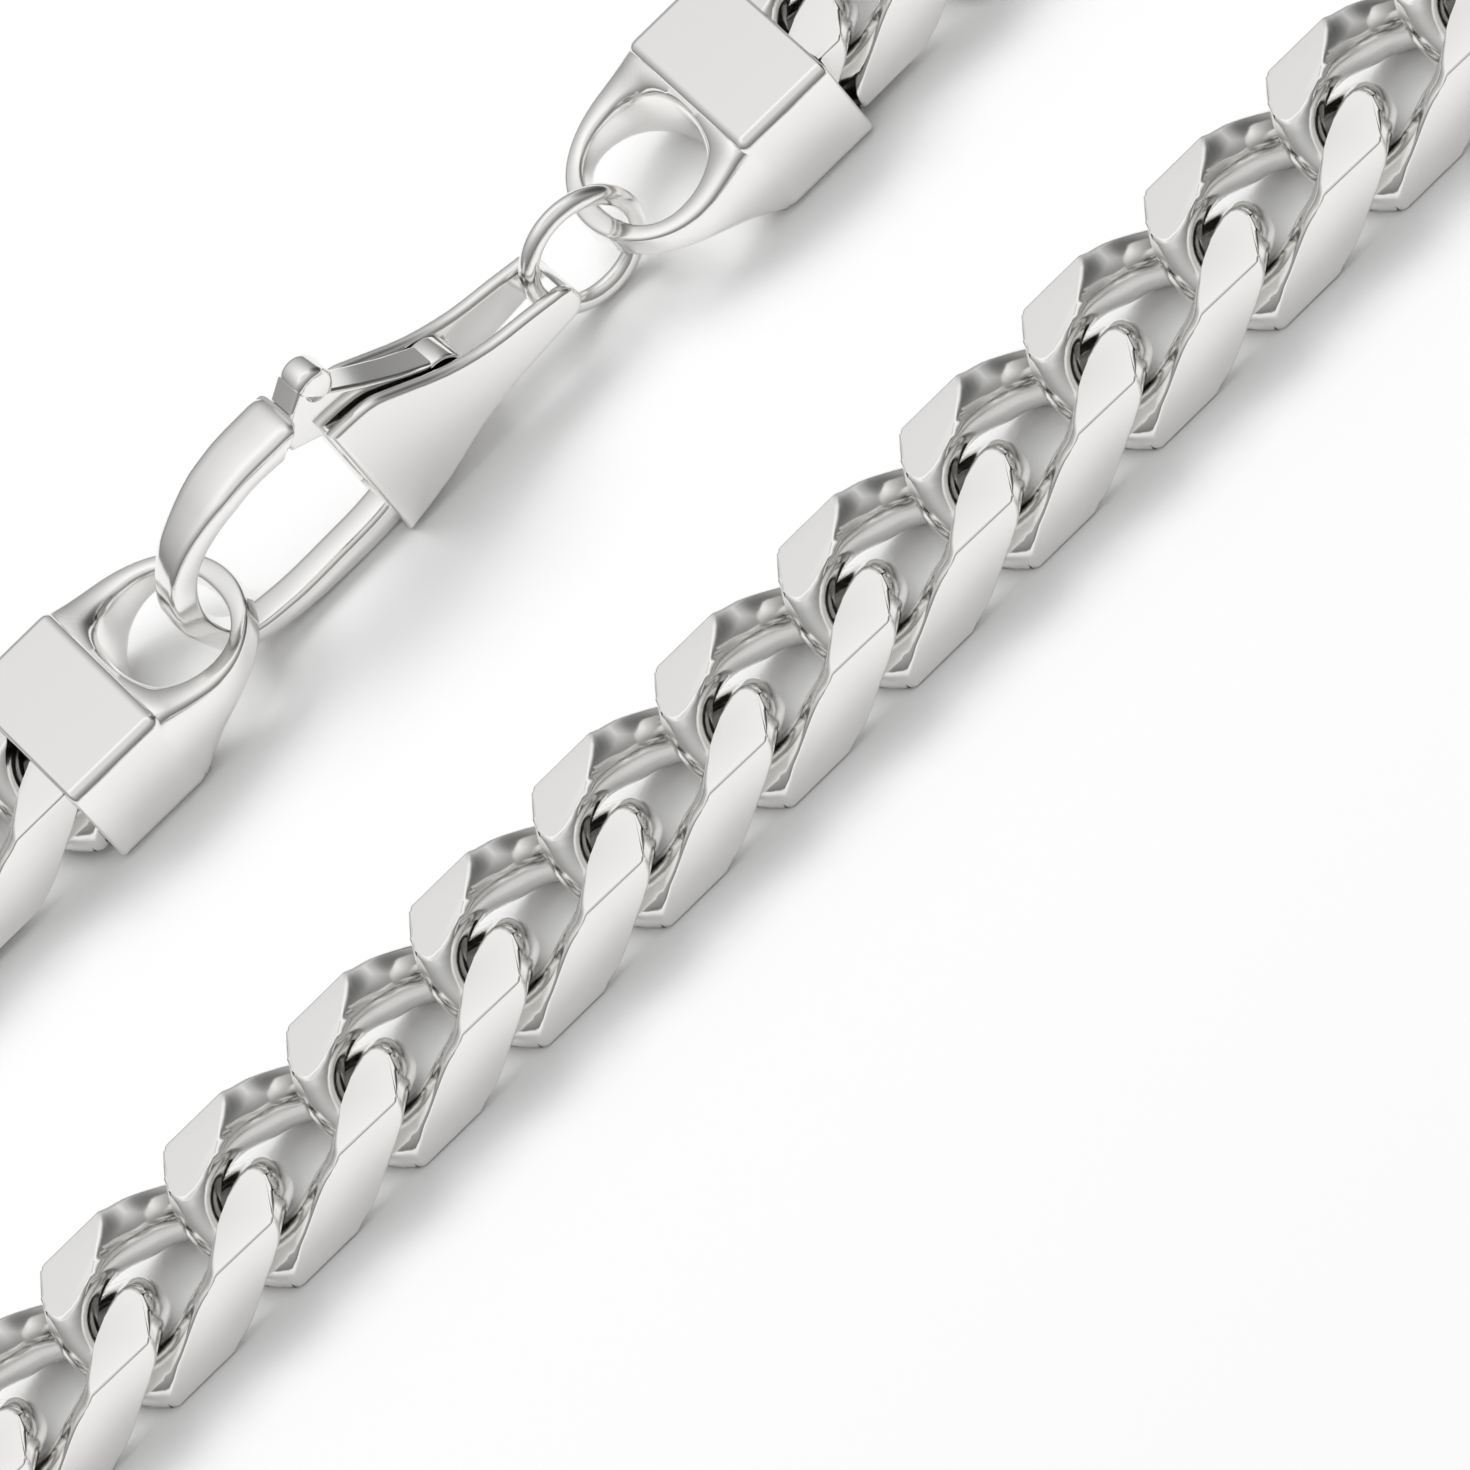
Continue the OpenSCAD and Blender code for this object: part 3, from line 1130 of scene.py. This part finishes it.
@dataclass
class Studio:
    """White table, soft lights and camera.

    The ramp gives the room's brightness for the height of a direction, from -1 straight
    down, which the table hides, to 1 overhead. The room is darker round dark_way, between
    the cosines in dark_span, and on the camera's side, between the y values in front_span.
    The table's and the camera's reaches are in metres.
    """

    camera: CameraSizes = field(default_factory=CameraSizes)
    lamps: tuple[Lamp, ...] = (
        Lamp("lamp_back_left", (-150, 260, 420), (220, 220), 0.68),
        Lamp("lamp_back_right", (120, 260, 440), (220, 220), 0.50),
        Lamp("lamp_above", (0, 40, 520), (260, 260), 0.31),
    )
    ramp: tuple[tuple[float, float], ...] = (
        (-1.00, 1.20),
        (-0.30, 1.20),
        (0.00, 0.20),
        (0.20, 0.36),
        (0.45, 0.52),
        (0.60, 0.66),
        (0.71, 0.80),
        (0.78, 0.93),
        (0.90, 1.15),
        (1.00, 1.00),
    )
    dark_way: tuple[float, float, float] = (0.94, 0.10, 0.32)
    dark_span: tuple[float, float] = (0.8, 0.98)
    dark_level: float = 0.25
    front_span: tuple[float, float] = (-0.3, 0.6)
    front_level: float = 0.68
    table_half: float = 2.0
    table_drop: float = 0.00002
    near: float = 0.01
    far: float = 20.0

    def build(self, paper: bpy.types.Material) -> None:
        """Build the whole set.

        Args:
            paper: The table's finish.
        """
        shape = bmesh.new()
        bmesh.ops.create_grid(shape, x_segments=1, y_segments=1, size=self.table_half)
        mesh = bpy.data.meshes.new("table")
        finish_mesh(mesh, shape, paper)
        table = bpy.data.objects.new("table", mesh)
        table.location = (0, 0, -self.table_drop)
        bpy.context.scene.collection.objects.link(table)
        for lamp in self.lamps:
            self.light(lamp)
        self.sky()
        self.shoot()
        bpy.context.scene.view_settings.view_transform = "Standard"

    def light(self, lamp: Lamp) -> None:
        """Add one area light.

        Args:
            lamp: The light.
        """
        data = bpy.data.lights.new(lamp.name, "AREA")
        data.shape = "RECTANGLE"
        data.size, data.size_y = lamp.size[0] * MM, lamp.size[1] * MM
        data.energy = lamp.power
        item = bpy.data.objects.new(lamp.name, data)
        item.location = Vector(lamp.place) * MM
        look = (Vector(lamp.aim) - Vector(lamp.place)).normalized()
        item.rotation_euler = look.to_track_quat("-Z", "Y").to_euler()
        item.visible_glossy = False
        bpy.context.scene.collection.objects.link(item)

    def sky(self) -> None:
        """Give the room a pale light that falls off towards the floor, with one dark patch."""
        world = bpy.data.worlds.new("pale room")
        world.use_nodes = True
        tree = world.node_tree
        way = add_node(tree, "ShaderNodeTexCoord", {}).outputs["Generated"]
        split = add_node(tree, "ShaderNodeSeparateXYZ", {"Vector": way})
        span = {"Value": split.outputs["Z"], "From Min": -1.0, "From Max": 1.0}
        height = add_node(tree, "ShaderNodeMapRange", span)
        shade = add_node(tree, "ShaderNodeValToRGB", {"Fac": height.outputs["Result"]})
        stops = shade.color_ramp.elements
        stops[0].position, stops[-1].position = 0.0, 1.0
        for level, _ in self.ramp[1:-1]:
            stops.new((level + 1) / 2)
        for stop, (_, glow) in zip(stops, self.ramp):
            stop.color = (glow, glow, glow, 1.0)
        ways = {0: way, 1: self.dark_way}
        near_dark = add_node(tree, "ShaderNodeVectorMath", ways, operation="DOT_PRODUCT")
        shares = []
        for value, span, first, last in (
            (near_dark.outputs["Value"], self.dark_span, 1.0, self.dark_level),
            (split.outputs["Y"], self.front_span, self.front_level, 1.0),
        ):
            values = {"Value": value, "From Min": span[0], "From Max": span[1]}
            values |= {"To Min": first, "To Max": last}
            shares.append(add_node(tree, "ShaderNodeMapRange", values).outputs["Result"])
        both = add_node(tree, "ShaderNodeMath", dict(enumerate(shares)), operation="MULTIPLY")
        back = tree.nodes["Background"]
        tree.links.new(shade.outputs["Color"], back.inputs["Color"])
        tree.links.new(both.outputs["Value"], back.inputs["Strength"])
        bpy.context.scene.world = world

    def shoot(self) -> None:
        """Place the camera as the photograph shows."""
        c = self.camera
        a, e, r = (math.radians(v) for v in (c.azimuth, c.elevation, c.roll))
        back = Vector((math.sin(a) * math.cos(e), -math.cos(a) * math.cos(e), math.sin(e)))
        right = Vector((math.cos(a), math.sin(a), 0))
        up = back.cross(right)
        across = right * math.cos(r) - up * math.sin(r)
        over = right * math.sin(r) + up * math.cos(r)
        data = bpy.data.cameras.new("camera")
        data.lens = c.lens
        data.sensor_width = c.sensor
        data.clip_start, data.clip_end = self.near, self.far
        item = bpy.data.objects.new("camera", data)
        turn = Matrix((across, over, back)).transposed().to_4x4()
        item.matrix_world = Matrix.Translation((Vector(c.aim) + back * c.distance) * MM) @ turn
        bpy.context.scene.collection.objects.link(item)
        bpy.context.scene.camera = item


def main() -> None:
    """Build the necklace and its set in order."""
    logging.basicConfig(level=logging.INFO, format="%(message)s")
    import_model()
    silver = SILVER.make()
    link = LinkSizes()
    loop = Loop(LoopSizes(), link.height / 2)
    pieces = Chain(loop, CurbLink(link)).build(silver)
    pieces += Hardware(HardwareSizes(), loop.sizes.run_y).build(silver)
    Studio().build(PAPER.make())
    for piece in pieces:
        LOG.info("%s: %d faces", piece.name, len(piece.data.polygons))


if __name__ == "__main__":
    main()
